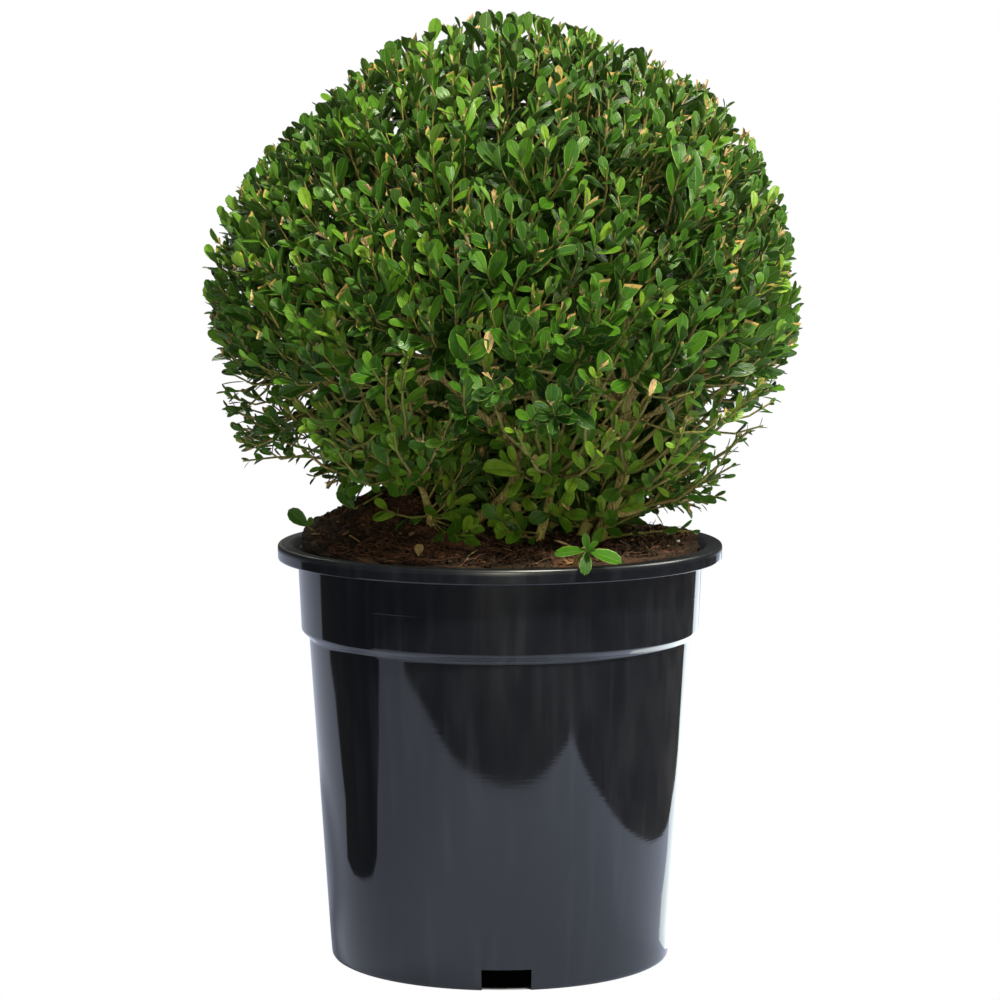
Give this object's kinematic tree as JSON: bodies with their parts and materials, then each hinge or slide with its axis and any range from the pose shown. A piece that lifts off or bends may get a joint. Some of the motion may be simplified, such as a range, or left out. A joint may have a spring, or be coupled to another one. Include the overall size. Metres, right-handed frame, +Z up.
{
  "type": "box topiary ball in a nursery pot",
  "caption": "Clipped evergreen box ball on short bare stems, growing in a round black plastic nursery pot that stands on its foot ring.",
  "frame": {"origin": "middle of the circle that the pot's foot ring stands on, which is also the bottom centre of the whole plant", "axes": "+Z up along the pot's upright axis, -Y towards the side with the front notch and the low sprig over the rim, +X to the right seen from there"},
  "size_m": [0.34, 0.341, 0.5422],
  "materials": {
    "pot_plastic": "glossy black injection-moulded plastic, faint mould lines and scuffs",
    "compost": "dark brown peaty compost with fibres and bark crumbs",
    "bark": "thin ridged bark, greenish tan",
    "leaf": "small leathery leaves, deep green and glossy above, paler below",
    "young_leaf": "small leaves of the low sprays, a brighter green"
  },
  "bodies": {
    "root": {"pot": "pot_plastic", "pot_base": "pot_plastic", "soil": "compost", "stem_right": "bark", "stem_front": "bark", "stem_middle": "bark", "stem_left": "bark", "stem_far_left": "bark", "stem_back": "bark", "stem_back_left": "bark", "stem_back_right": "bark", "stem_far_right": "bark", "stem_centre": "bark", "bough_left": "bark", "bough_right": "bark", "shoot_rim": "bark", "crown_ball": "leaf", "spray_left": "young_leaf", "spray_right": "young_leaf", "spray_front_left": "young_leaf", "spray_front": "young_leaf", "spray_back_left": "young_leaf", "spray_back_right": "young_leaf", "sprig_rim": "young_leaf"}
  },
  "joints": []
}
